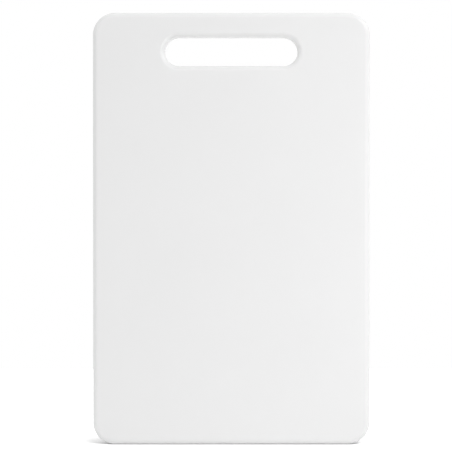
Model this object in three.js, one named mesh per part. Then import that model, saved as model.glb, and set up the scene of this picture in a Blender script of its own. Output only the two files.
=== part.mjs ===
// Plastic cutting board: one slab of white polyethylene with a hand slot near its top end
// and a round-over on every rim. It stands on its short end.
// Millimetres, +Z up along the board's length, +X to the right, front face towards -Y.
// The origin is at the middle of the bottom edge.
import * as THREE from 'three';

// Slab
const boardWidth = 250;
const boardLength = 390;
const boardThickness = 20;
const cornerRadius = 20;

// Hand slot, cut right through the slab and centred on its width
const slotWidth = 120;
const slotHeight = 26;
const slotBelowTop = 22;

// Round-over, the same quarter round on the front and back rims of the outline and the slot
const rimRadius = 5;
const leastLand = 1;

// Smoothness of the curves, in steps for each quarter turn
const outlineSteps = 12;
const rimSteps = 6;

// Polyethylene, white with a satin surface
const polyethyleneColour = 0xf0f0f0;
const polyethyleneRoughness = 0.38;

const quarterTurn = Math.PI / 2;

/**
 * Traces a rectangle with rounded corners, anticlockwise, onto a shape or a hole path.
 * A radius of half the height gives a slot with full-round ends.
 */
function traceRoundedRectangle(path, { width, bottom, top, radius }) {
  const right = width / 2 - radius;
  const left = -right;
  const low = bottom + radius;
  const high = top - radius;
  path.absarc(right, low, radius, -quarterTurn, 0);
  path.absarc(right, high, radius, 0, quarterTurn);
  path.absarc(left, high, radius, quarterTurn, 2 * quarterTurn);
  path.absarc(left, low, radius, 2 * quarterTurn, 3 * quarterTurn);
  path.closePath();
  return path;
}

/** The slab's outline as seen from the front, standing on y = 0, with the slot as its hole. */
function boardOutline() {
  const slotTop = boardLength - slotBelowTop;
  const outline = traceRoundedRectangle(new THREE.Shape(), {
    width: boardWidth,
    bottom: 0,
    top: boardLength,
    radius: cornerRadius,
  });
  const slot = traceRoundedRectangle(new THREE.Path(), {
    width: slotWidth,
    bottom: slotTop - slotHeight,
    top: slotTop,
    radius: slotHeight / 2,
  });
  outline.holes.push(slot);
  return outline;
}

/**
 * The slab with its rims rounded over. The round-over is limited by the slab's thickness, so
 * that a flat land is left between the front rim and the back rim. The board stands on it.
 */
function makeBoard() {
  const roundOver = Math.min(rimRadius, (boardThickness - leastLand) / 2);
  const land = boardThickness - 2 * roundOver;
  const geometry = new THREE.ExtrudeGeometry(boardOutline(), {
    depth: land,
    curveSegments: outlineSteps / 2, // an arc gets two steps for each of these
    bevelEnabled: true,
    bevelThickness: roundOver,
    bevelSize: roundOver,
    bevelOffset: -roundOver, // the outline and the slot keep their sizes at the land
    bevelSegments: rimSteps,
  });
  const polyethylene = new THREE.MeshStandardMaterial({
    color: polyethyleneColour,
    roughness: polyethyleneRoughness,
    metalness: 0,
  });
  const board = new THREE.Mesh(geometry, polyethylene);
  board.name = 'board';
  // Stand the extrusion up, with the middle of its thickness on the y = 0 plane
  board.rotation.x = quarterTurn;
  board.position.y = land / 2;
  return board;
}

const cuttingBoard = new THREE.Group();
cuttingBoard.add(makeBoard());

export default cuttingBoard;
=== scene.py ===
"""Looks of a white polyethylene cutting board that stands on its short end in a white studio.

Sizes are in metres, in the frame of the part: +X to the right, +Z up, front face towards -Y.
"""

import logging
import math
from collections.abc import Callable, Iterator
from contextlib import contextmanager
from dataclasses import dataclass
from enum import Enum
from itertools import product
from typing import Any, Union

import bmesh
import bpy
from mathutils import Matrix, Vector

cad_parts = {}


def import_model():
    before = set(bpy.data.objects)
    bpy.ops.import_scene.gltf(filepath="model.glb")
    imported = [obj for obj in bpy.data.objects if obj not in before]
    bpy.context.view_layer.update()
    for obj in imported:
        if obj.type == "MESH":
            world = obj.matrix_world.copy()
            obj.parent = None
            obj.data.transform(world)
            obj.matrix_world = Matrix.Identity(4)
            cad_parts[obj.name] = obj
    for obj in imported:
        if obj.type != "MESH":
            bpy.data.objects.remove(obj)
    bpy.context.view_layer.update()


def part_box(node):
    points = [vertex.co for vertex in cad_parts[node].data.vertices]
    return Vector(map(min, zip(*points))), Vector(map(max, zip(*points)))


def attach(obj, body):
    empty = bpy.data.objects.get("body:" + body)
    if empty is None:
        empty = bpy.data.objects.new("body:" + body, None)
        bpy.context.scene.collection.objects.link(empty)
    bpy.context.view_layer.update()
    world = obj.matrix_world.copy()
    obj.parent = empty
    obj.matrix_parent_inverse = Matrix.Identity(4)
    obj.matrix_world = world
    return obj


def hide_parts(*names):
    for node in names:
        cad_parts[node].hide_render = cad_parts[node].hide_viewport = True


LOG = logging.getLogger("cutting_board")

QUARTER_TURN = math.pi / 2
NOISE_MIDDLE = 0.5

Colour = tuple[float, float, float, float]
Operand = Union["Signal", float]


class MathStep(Enum):
    """What a Math node does with its values."""

    ADD = "ADD"
    SUBTRACT = "SUBTRACT"
    MULTIPLY = "MULTIPLY"
    ABSOLUTE = "ABSOLUTE"
    MAXIMUM = "MAXIMUM"


class Signal:
    """A shader socket that takes part in Python expressions."""

    def __init__(self, graph: "ShaderGraph", socket: bpy.types.NodeSocket) -> None:
        """Keeps the socket and the graph that takes the expression's nodes."""
        self.graph = graph
        self.socket = socket

    def __add__(self, other: Operand) -> "Signal":
        """Adds a value or a signal to this one."""
        return self.graph.math(MathStep.ADD, self, other)

    def __radd__(self, other: Operand) -> "Signal":
        """Adds this signal to a value."""
        return self.graph.math(MathStep.ADD, other, self)

    def __sub__(self, other: Operand) -> "Signal":
        """Takes a value or a signal from this one."""
        return self.graph.math(MathStep.SUBTRACT, self, other)

    def __rsub__(self, other: Operand) -> "Signal":
        """Takes this signal from a value."""
        return self.graph.math(MathStep.SUBTRACT, other, self)

    def __mul__(self, other: Operand) -> "Signal":
        """Multiplies this signal by a value or a signal."""
        return self.graph.math(MathStep.MULTIPLY, self, other)

    def __rmul__(self, other: Operand) -> "Signal":
        """Multiplies a value by this signal."""
        return self.graph.math(MathStep.MULTIPLY, other, self)

    def __abs__(self) -> "Signal":
        """Drops this signal's sign."""
        return self.graph.math(MathStep.ABSOLUTE, self)


class ShaderGraph:
    """The node tree of a material or a world, filled by method calls."""

    def __init__(self, owner: bpy.types.Material | bpy.types.World) -> None:
        """Empties the owner's node tree down to its output node.

        Args:
            owner: The material or world to fill.
        """
        owner.use_nodes = True
        self.tree = owner.node_tree
        self.output = self.tree.get_output_node("ALL")
        for node in list(self.tree.nodes):
            if node != self.output:
                self.tree.nodes.remove(node)

    def node(
        self,
        kind: str,
        settings: dict[str, Any] | None = None,
        inputs: dict[str | int, Any] | None = None,
        output: str | int = 0,
    ) -> Signal:
        """Adds one node.

        Args:
            kind: The node's type.
            settings: Properties of the node, which are set first.
            inputs: Values or signals for its sockets, by name or place.
            output: The output to return, by name or place.

        Returns:
            The node's output as a signal.
        """
        node = self.tree.nodes.new(kind)
        for name, value in (settings or {}).items():
            setattr(node, name, value)
        for name, value in (inputs or {}).items():
            if isinstance(value, Signal):
                self.tree.links.new(value.socket, node.inputs[name])
            else:
                node.inputs[name].default_value = value
        return Signal(self, node.outputs[output])

    def math(self, step: MathStep, *values: Operand) -> Signal:
        """Adds a Math node for one step of an expression."""
        return self.node("ShaderNodeMath", {"operation": step.value}, dict(enumerate(values)))

    def noise(self, place: Signal, size: float, detail: float = 2.0) -> Signal:
        """Adds smooth noise.

        Args:
            place: The coordinates to read it at.
            size: The size of its largest blotches.
            detail: How many finer layers are added.

        Returns:
            The noise, mostly between 0.3 and 0.7.
        """
        inputs = {"Vector": place, "Scale": 1.0 / size, "Detail": detail}
        return self.node("ShaderNodeTexNoise", inputs=inputs, output="Fac")

    def seen_directly(self) -> Signal:
        """Tells rays that see a surface from light that spreads.

        Returns:
            1 for camera, mirror and glass rays, and 0 for all others.
        """
        kinds = ("Is Camera Ray", "Is Glossy Ray", "Is Transmission Ray")
        camera, glossy, transmission = (
            self.node("ShaderNodeLightPath", output=kind) for kind in kinds
        )
        return self.node("ShaderNodeClamp", inputs={"Value": camera + glossy + transmission})

    def surface(self, shader: Signal) -> None:
        """Connects a shader to the output."""
        self.tree.links.new(shader.socket, self.output.inputs["Surface"])


@dataclass(frozen=True)
class Polyethylene:
    """White satin polyethylene, pebbled on the flat faces and smooth on the rounded rims."""

    clear_white: Colour = (0.885, 0.885, 0.885, 1.0)
    milky_white: Colour = (0.862, 0.862, 0.862, 1.0)
    cloud_size: float = 0.080
    face_roughness: float = 0.38
    rim_roughness: float = 0.25
    mottle_size: float = 0.012
    mottle_depth: float = 0.10
    pebble_size: float = 0.0011
    grain_size: float = 0.0004
    grain_share: float = 0.4
    pebble_height: float = 0.00004
    pebble_strength: float = 0.5
    pebble_fade: float = 0.0005
    subsurface_weight: float = 0.25
    subsurface_reach: float = 0.002

    def material(self, half_thickness: float) -> bpy.types.Material:
        """Makes the finish for a slab whose mid-plane is y = 0.

        Args:
            half_thickness: From the mid-plane to a flat face.

        Returns:
            The material.
        """
        material = bpy.data.materials.new("white_polyethylene")
        graph = ShaderGraph(material)
        place = graph.node("ShaderNodeTexCoord", output="Object")
        across = graph.node("ShaderNodeSeparateXYZ", inputs={"Vector": place}, output="Y")
        below_face = half_thickness - abs(across)
        rim = graph.node(
            "ShaderNodeMapRange",
            {"interpolation_type": "SMOOTHSTEP"},
            {"Value": below_face, "From Min": 0.0, "From Max": self.pebble_fade},
        )
        clouds = graph.noise(place, self.cloud_size)
        # The Mix node's colour sockets have the names of its number sockets, so they go by place
        colour = graph.node(
            "ShaderNodeMix",
            {"data_type": "RGBA"},
            {0: clouds, 6: self.clear_white, 7: self.milky_white},
            output=2,
        )
        mottle = (graph.noise(place, self.mottle_size) - NOISE_MIDDLE) * self.mottle_depth
        polish = rim * (self.rim_roughness - self.face_roughness)
        coarse = graph.noise(place, self.pebble_size)
        pebbles = coarse + self.grain_share * graph.noise(place, self.grain_size)
        normal = graph.node(
            "ShaderNodeBump",
            inputs={
                "Strength": self.pebble_strength,
                "Distance": self.pebble_height,
                "Height": pebbles * (1.0 - rim),
            },
        )
        shader = graph.node(
            "ShaderNodeBsdfPrincipled",
            inputs={
                "Base Color": colour,
                "Roughness": mottle + polish + self.face_roughness,
                "Normal": normal,
                "Subsurface Weight": self.subsurface_weight,
                "Subsurface Radius": (1.0, 1.0, 1.0),
                "Subsurface Scale": self.subsurface_reach,
            },
        )
        graph.surface(shader)
        return material


def select_only(*pieces: bpy.types.Object) -> None:
    """Selects some objects alone.

    Args:
        pieces: The objects, of which the first becomes the active one.
    """
    bpy.ops.object.select_all(action="DESELECT")
    for piece in pieces:
        piece.select_set(True)
    bpy.context.view_layer.objects.active = pieces[0]


@contextmanager
def editing(piece: bpy.types.Object) -> Iterator[None]:
    """Keeps a piece in edit mode, where vertices are selected.

    Args:
        piece: The piece to edit, which becomes the only one selected.
    """
    select_only(piece)
    bpy.ops.object.mode_set(mode="EDIT")
    bpy.ops.mesh.select_mode(type="VERT")
    yield
    bpy.ops.object.mode_set(mode="OBJECT")


def select_vertices(piece: bpy.types.Object, chosen: Callable[[Vector], bool]) -> None:
    """Selects vertices of a piece in edit mode, and deselects the others.

    Args:
        piece: The piece in edit mode.
        chosen: The test that a vertex's place has to pass.
    """
    mesh = bmesh.from_edit_mesh(piece.data)
    for vertex in mesh.verts:
        vertex.select_set(chosen(vertex.co))
    mesh.select_flush_mode()
    bmesh.update_edit_mesh(piece.data)


def apply_modifiers(piece: bpy.types.Object) -> None:
    """Applies modifiers in their order.

    Args:
        piece: The piece that has them.
    """
    select_only(piece)
    for name in [modifier.name for modifier in piece.modifiers]:
        bpy.ops.object.modifier_apply(modifier=name)


@dataclass(frozen=True)
class RoundedRing:
    """A closed ring of edges in an upright plane: a rectangle with rounded corners."""

    width: float
    height: float
    radius: float
    centre: Vector
    steps: int

    def trace(self, name: str) -> bpy.types.Object:
        """Spreads a circle's quarters apart until it has the ring's width and height.

        Args:
            name: The new object's name.

        Returns:
            The ring, at the origin.
        """
        half_step = math.pi / self.steps
        bpy.ops.object.select_all(action="DESELECT")
        # Turned by half a step and with its sides on the radius, the circle has a flat side
        # where two quarters meet, so the ring is exactly as wide and high as asked.
        bpy.ops.mesh.primitive_circle_add(
            vertices=self.steps,
            radius=self.radius / math.cos(half_step),
            location=self.centre,
            rotation=(QUARTER_TURN, half_step, 0.0),
        )
        ring = bpy.context.active_object
        ring.name = name
        bpy.ops.object.transform_apply(location=True, rotation=True, scale=True)
        spread = Vector((self.width / 2 - self.radius, 0.0, self.height / 2 - self.radius))
        with editing(ring):
            for side, level in product((-1, 1), repeat=2):
                select_vertices(ring, self.quarter(side, level))
                shift = (side * spread.x, 0.0, level * spread.z)
                bpy.ops.transform.translate(value=shift)
        return ring

    def quarter(self, side: int, level: int) -> Callable[[Vector], bool]:
        """Makes the test for the vertices of one quarter of the circle.

        Args:
            side: -1 for the left quarters and 1 for the right ones.
            level: -1 for the lower quarters and 1 for the upper ones.

        Returns:
            The test, which takes a vertex's place.
        """

        def inside(place: Vector) -> bool:
            """Tells whether a vertex is in the quarter."""
            offset = place - self.centre
            return offset.x * side > 0 and offset.z * level > 0

        return inside


@dataclass(frozen=True)
class CuttingBoard:
    """The board: one slab with a hand slot near its top and a round-over on every rim."""

    corner_radius: float = 0.020
    slot_width: float = 0.120
    slot_height: float = 0.026
    slot_below_top: float = 0.022
    rim_radius: float = 0.005
    ring_steps: int = 128
    rim_steps: int = 12
    rim_angle: float = math.radians(60)
    finish: Polyethylene = Polyethylene()

    def build(self, low: Vector, high: Vector) -> bpy.types.Object:
        """Models the slab in the box of its CAD node.

        Args:
            low: The box's lowest corner.
            high: The box's highest corner.

        Returns:
            The board.
        """
        board = self.front_face(low, high)
        thickness = high.y - low.y
        with editing(board):
            bpy.ops.mesh.select_all(action="SELECT")
            bpy.ops.mesh.extrude_region_move(
                TRANSFORM_OT_translate={"value": (0.0, thickness, 0.0)}
            )
            bpy.ops.mesh.select_all(action="SELECT")
            bpy.ops.mesh.normals_make_consistent(inside=False)
        self.round_rims(board)
        return board

    def front_face(self, low: Vector, high: Vector) -> bpy.types.Object:
        """Bridges the outline and the slot's rim into the front face.

        Args:
            low: The board's lowest corner.
            high: The board's highest corner.

        Returns:
            The face, as a flat sheet at the front of the box.
        """
        middle = (low + high) / 2
        slot_middle = high.z - self.slot_below_top - self.slot_height / 2
        outline = RoundedRing(
            width=high.x - low.x,
            height=high.z - low.z,
            radius=self.corner_radius,
            centre=Vector((middle.x, low.y, middle.z)),
            steps=self.ring_steps,
        ).trace("cutting_board")
        slot = RoundedRing(
            width=self.slot_width,
            height=self.slot_height,
            radius=self.slot_height / 2,
            centre=Vector((middle.x, low.y, slot_middle)),
            steps=self.ring_steps,
        ).trace("slot_rim")
        select_only(outline, slot)
        bpy.ops.object.join()
        with editing(outline):
            bpy.ops.mesh.select_all(action="SELECT")
            bpy.ops.mesh.bridge_edge_loops()
        return outline

    def round_rims(self, board: bpy.types.Object) -> None:
        """Rounds over the front and back rims of the outline and the slot.

        Args:
            board: The slab with sharp rims.
        """
        select_only(board)
        bpy.ops.object.shade_smooth()
        bevel = board.modifiers.new("round_over", "BEVEL")
        bevel.width = self.rim_radius
        bevel.segments = self.rim_steps
        bevel.limit_method = "ANGLE"
        bevel.angle_limit = self.rim_angle
        bevel.loop_slide = False  # the rim stays as wide where the face's edges meet it aslant
        board.modifiers.new("flat_faces", "WEIGHTED_NORMAL")
        apply_modifiers(board)

    def dress(self, board: bpy.types.Object) -> None:
        """Gives the board its plastic."""
        half_thickness = max(corner[1] for corner in board.bound_box)
        board.data.materials.append(self.finish.material(half_thickness))


@dataclass(frozen=True)
class Floor:
    """A wide white floor that takes the board's shadow and looks white elsewhere.

    The shadow lies where the board hides part of the room within the shadow's reach. It is
    deepest where the open share is down to the core's, and gone where it is up to the edge's.
    """

    half_size: float = 0.75
    paint: Colour = (0.88, 0.88, 0.88, 1.0)
    glow: float = 0.56
    shadow_reach: float = 0.066
    shadow_core: float = 0.64
    shadow_edge: float = 0.92
    core_glow: float = 0.08
    lit_from: Vector = Vector((0.36, -0.90, 0.24)).normalized()

    def lay(self, level: float) -> bpy.types.Object:
        """Lays the floor.

        Args:
            level: The height of its surface.

        Returns:
            The floor.
        """
        bpy.ops.object.select_all(action="DESELECT")
        bpy.ops.mesh.primitive_plane_add(size=2 * self.half_size, location=(0.0, 0.0, level))
        floor = bpy.context.active_object
        floor.name = "floor"
        floor.data.materials.append(self.material())
        return floor

    def material(self) -> bpy.types.Material:
        """Makes the floor's white paint, which also glows for rays that see it directly.

        The glow fades close to the board, on its unlit side, so that its shadow stays.

        Returns:
            The material.
        """
        material = bpy.data.materials.new("white_floor")
        graph = ShaderGraph(material)
        paint = graph.node("ShaderNodeBsdfDiffuse", inputs={"Color": self.paint})
        lit_from = graph.node("ShaderNodeCombineXYZ", inputs=dict(zip("XYZ", self.lit_from)))
        clear = graph.node(
            "ShaderNodeAmbientOcclusion",
            inputs={"Distance": self.shadow_reach, "Normal": lit_from},
            output="AO",
        )
        light = graph.node(
            "ShaderNodeMapRange",
            {"interpolation_type": "SMOOTHSTEP"},
            {
                "Value": clear,
                "From Min": self.shadow_core,
                "From Max": self.shadow_edge,
                "To Min": self.core_glow,
            },
        )
        glow = graph.node(
            "ShaderNodeEmission",
            inputs={"Color": graph.seen_directly() * light, "Strength": self.glow},
        )
        graph.surface(graph.node("ShaderNodeAddShader", inputs={0: paint, 1: glow}))
        return material


@dataclass(frozen=True)
class Surround:
    """The white room: plain white where it is seen, with a soft fill from all round.

    The fill runs evenly from the front of the room to its back, and the ceiling adds to it.
    """

    colour: Colour = (1.0, 1.0, 1.0, 1.0)
    seen: float = 1.0
    front_fill: float = 0.648
    back_fill: float = 0.37
    ceiling_fill: float = 0.47

    def hang(self) -> None:
        """Makes the world."""
        world = bpy.data.worlds.new("white_room")
        graph = ShaderGraph(world)
        direction = graph.node("ShaderNodeTexCoord", output="Generated")
        towards_back, rise = (
            graph.node("ShaderNodeSeparateXYZ", inputs={"Vector": direction}, output=axis)
            for axis in "YZ"
        )
        upwards = graph.math(MathStep.MAXIMUM, rise, 0.0)
        middle_fill = (self.front_fill + self.back_fill) / 2
        fill = (
            middle_fill
            + (self.back_fill - middle_fill) * towards_back
            + self.ceiling_fill * upwards * upwards
        )
        strength = fill + (self.seen - fill) * graph.seen_directly()
        graph.surface(
            graph.node(
                "ShaderNodeBackground", inputs={"Color": self.colour, "Strength": strength}
            )
        )
        bpy.context.scene.world = world


@dataclass(frozen=True)
class Softbox:
    """A square soft lamp that is turned to the middle of the board.

    A lamp that isn't mirrored lights the plastic without a highlight.
    """

    name: str
    place: Vector
    size: float
    power: float
    mirrored: bool = True
    aim: Vector = Vector((0.0, 0.0, 0.2))

    def hang(self) -> None:
        """Puts the lamp in its place, out of the camera's sight."""
        lamp = bpy.data.lights.new(self.name, "AREA")
        lamp.size = self.size
        lamp.energy = self.power
        holder = bpy.data.objects.new(self.name, lamp)
        holder.location = self.place
        holder.rotation_euler = (self.aim - self.place).to_track_quat("-Z", "Y").to_euler()
        holder.visible_camera = False
        holder.visible_glossy = self.mirrored
        bpy.context.scene.collection.objects.link(holder)


@dataclass(frozen=True)
class LongLens:
    """The camera: a long lens, almost level, square on to the board."""

    distance: float = 1.6
    pitch: float = math.radians(0.5)
    frame_width: float = 0.4088
    aim: Vector = Vector((-0.0048, -0.005, 0.1975))

    def aim_at_board(self) -> None:
        """Makes the scene's camera."""
        lens = bpy.data.cameras.new("long_lens")
        lens.lens = lens.sensor_width * self.distance / self.frame_width
        camera = bpy.data.objects.new("long_lens", lens)
        back = Vector((0.0, -math.cos(self.pitch), math.sin(self.pitch)))
        camera.location = self.aim + back * self.distance
        camera.rotation_euler = (QUARTER_TURN - self.pitch, 0.0, 0.0)
        bpy.context.scene.collection.objects.link(camera)
        bpy.context.scene.camera = camera


@dataclass(frozen=True)
class Studio:
    """The floor, the light and the camera around the board."""

    floor: Floor = Floor()
    surround: Surround = Surround()
    lens: LongLens = LongLens()
    lamps: tuple[Softbox, ...] = (
        Softbox("key_softbox", place=Vector((0.74, -0.40, 0.91)), size=0.70, power=2.6),
        Softbox("low_softbox", place=Vector((0.50, -0.62, 0.20)), size=0.22, power=0.80),
        Softbox("left_softbox", place=Vector((-1.12, -0.65, 0.95)), size=0.60, power=1.7),
        Softbox(
            "back_softbox", place=Vector((0.0, 2.0, 0.30)), size=0.60, power=7.5, mirrored=False
        ),
    )

    def build(self, level: float) -> None:
        """Sets the studio up.

        Args:
            level: The height of the floor.
        """
        self.floor.lay(level)
        self.surround.hang()
        for lamp in self.lamps:
            lamp.hang()
        self.lens.aim_at_board()
        bpy.context.scene.view_settings.view_transform = "Standard"


def main() -> None:
    """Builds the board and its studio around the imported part."""
    logging.basicConfig(level=logging.INFO, format="%(name)s: %(message)s")
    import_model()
    low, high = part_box("board")

    maker = CuttingBoard()
    board = maker.build(low, high)
    maker.dress(board)
    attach(board, "root")
    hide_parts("board")
    LOG.info("%s: %d faces", board.name, len(board.data.polygons))

    studio = Studio()
    studio.build(low.z)
    LOG.info("studio: floor, white room, %d softboxes and camera", len(studio.lamps))


if __name__ == "__main__":
    main()
